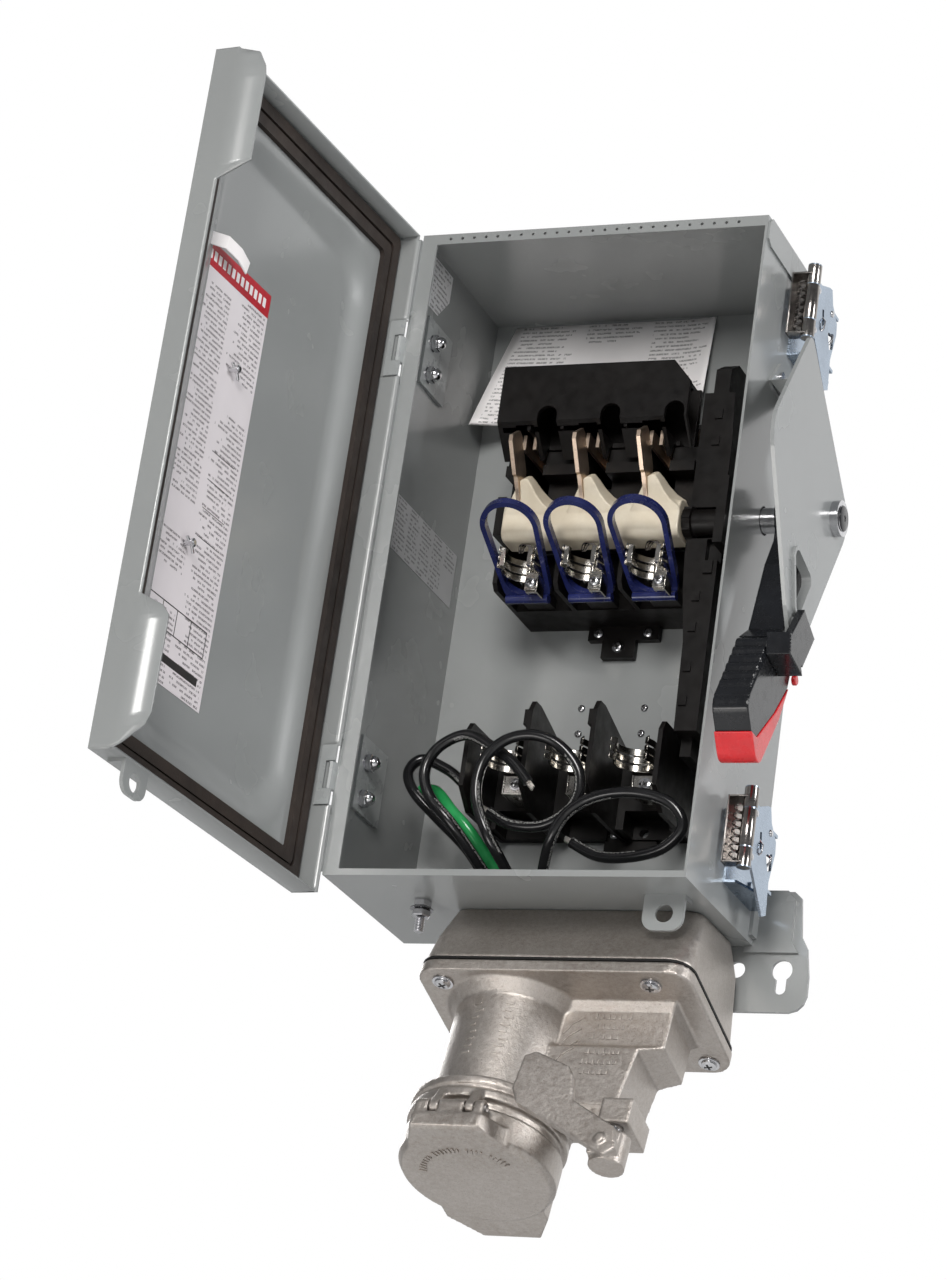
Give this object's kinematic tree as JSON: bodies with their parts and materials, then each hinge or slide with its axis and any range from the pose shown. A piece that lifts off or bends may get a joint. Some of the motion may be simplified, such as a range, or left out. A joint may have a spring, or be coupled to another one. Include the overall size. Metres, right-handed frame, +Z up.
{
  "type": "fusible safety switch with interlocked receptacle",
  "caption": "Wall-mounted side-operated fusible disconnect switch in a steel box with its door open and a cast interlocked pin-and-sleeve receptacle below.",
  "frame": {"origin": "middle of the bottom edge of the steel enclosure's back face, on the wall", "axes": "+X to the operating handle's side (right, seen from the front), +Y into the wall, +Z up"},
  "size_m": [0.3211, 0.3682, 0.6481],
  "materials": {
    "grey_paint": "smooth light grey powder coat",
    "hinge_paint": "light grey powder coat",
    "zinc_steel": "zinc plated, satin",
    "bright_steel": "bright zinc plated",
    "tinned_copper": "tin plated copper, satin",
    "blade_copper": "bare and plated copper",
    "contact_brass": "machined brass",
    "black_moulding": "moulded phenolic, slightly glossy",
    "handle_black": "moulded, ribbed grip",
    "handle_red": "glossy red",
    "cream_moulding": "cream moulding",
    "blue_plastic": "dark blue moulding",
    "cast_aluminium": "sand cast, blasted",
    "zinc_nipple": "zinc plated",
    "gasket_rubber": "moulded rubber",
    "door_foam": "dark brown foam",
    "label_film": "printed film",
    "booklet_paper": "printed paper",
    "wire_black": "smooth nylon jacket",
    "wire_green": "smooth nylon jacket"
  },
  "bodies": {
    "enclosure": {"enclosure_shell": "grey_paint", "top_mounting_foot": "grey_paint", "bottom_mounting_foot": "grey_paint", "enclosure_hasp_tab": "grey_paint", "hinge_brackets": "hinge_paint", "hinge_bolts": "bright_steel", "hinge_nuts": "bright_steel", "bonding_stud": "bright_steel", "inner_rating_label": "label_film", "inner_warning_label": "label_film", "instruction_booklet": "booklet_paper", "guard_plate": "grey_paint", "guard_bush": "bright_steel", "guard_rivets": "bright_steel", "line_base": "black_moulding", "line_shield": "black_moulding", "line_jaws": "blade_copper", "fuse_base": "black_moulding", "fuse_clips_upper": "tinned_copper", "fuse_terminals": "tinned_copper", "base_screws": "bright_steel", "load_base": "black_moulding", "fuse_clips_lower": "tinned_copper", "load_lugs": "tinned_copper", "lug_screws": "bright_steel", "mechanism_housing": "black_moulding", "shaft_bearing": "black_moulding", "latch_base_upper": "zinc_steel", "latch_base_lower": "zinc_steel", "adapter_box": "cast_aluminium", "adapter_gasket": "gasket_rubber", "receptacle_body": "cast_aluminium", "cover_screws": "bright_steel", "receptacle_insulator": "black_moulding", "contact_sleeves": "contact_brass", "flap_pin": "bright_steel", "release_pin": "bright_steel", "wire_bushing": "zinc_nipple", "black_wires": "wire_black", "green_wire": "wire_green"},
    "door": {"door_panel": "grey_paint", "door_gasket": "door_foam", "door_label": "label_film", "door_hasp_tab": "grey_paint", "door_leaves": "hinge_paint"},
    "handle": {"drive_shaft": "bright_steel", "handle_arm": "handle_black", "handle_grip": "handle_black", "handle_end_cap": "handle_red", "lock_tab": "handle_black"},
    "rotor": {"rotor": "cream_moulding", "switch_blades": "blade_copper"},
    "puller_a": {"fuse_puller_a": "blue_plastic"},
    "puller_b": {"fuse_puller_b": "blue_plastic"},
    "puller_c": {"fuse_puller_c": "blue_plastic"},
    "latch_upper": {"latch_lever_upper": "zinc_steel"},
    "latch_lower": {"latch_lever_lower": "zinc_steel"},
    "flap": {"flap_cover": "cast_aluminium"},
    "release": {"release_lever": "cast_aluminium"}
  },
  "joints": [
    {"name": "door_hinge", "type": "hinge", "parent": "enclosure", "child": "door", "pos_m": [-0.1186, -0.1296, 0.2], "axis": [0, 0, 1], "range_deg": [-60, 94]},
    {"name": "handle_pivot", "type": "hinge", "parent": "enclosure", "child": "handle", "pos_m": [0.12, -0.072, 0.248], "axis": [1, 0, 0], "range_deg": [-105, 0]},
    {"name": "rotor_turn", "type": "hinge", "parent": "enclosure", "child": "rotor", "pos_m": [0, -0.072, 0.248], "axis": [1, 0, 0], "range_deg": [-36, 0]},
    {"name": "latch_upper_pivot", "type": "hinge", "parent": "enclosure", "child": "latch_upper", "pos_m": [0.127, -0.038, 0.386], "axis": [0, 0, 1], "range_deg": [0, 40], "stiffness_Nm_per_rad": 0.3, "springref_deg": -17.19},
    {"name": "latch_lower_pivot", "type": "hinge", "parent": "enclosure", "child": "latch_lower", "pos_m": [0.127, -0.038, 0.042], "axis": [0, 0, 1], "range_deg": [0, 40], "stiffness_Nm_per_rad": 0.3, "springref_deg": -17.19},
    {"name": "flap_hinge", "type": "hinge", "parent": "enclosure", "child": "flap", "pos_m": [-0.005, -0.13281, -0.14175], "axis": [1, 0, 0], "range_deg": [-100, 0], "stiffness_Nm_per_rad": 0.25, "springref_deg": 85.94},
    {"name": "release_pivot", "type": "hinge", "parent": "enclosure", "child": "release", "pos_m": [0.092, -0.12925, -0.15748], "axis": [0, 0.2924, 0.9563], "range_deg": [0, 30], "stiffness_Nm_per_rad": 0.15, "springref_deg": -17.19},
    {"name": "puller_a_swing", "type": "hinge", "parent": "enclosure", "child": "puller_a", "pos_m": [-0.039, -0.058, 0.206], "axis": [1, 0, 0], "range_deg": [0, 50]},
    {"name": "puller_b_swing", "type": "hinge", "parent": "enclosure", "child": "puller_b", "pos_m": [0.003, -0.058, 0.206], "axis": [1, 0, 0], "range_deg": [0, 50]},
    {"name": "puller_c_swing", "type": "hinge", "parent": "enclosure", "child": "puller_c", "pos_m": [0.045, -0.058, 0.206], "axis": [1, 0, 0], "range_deg": [0, 50]}
  ],
  "couplings": [
    {"joint": "rotor_turn", "follows": "handle_pivot", "ratio": 0.34}
  ]
}
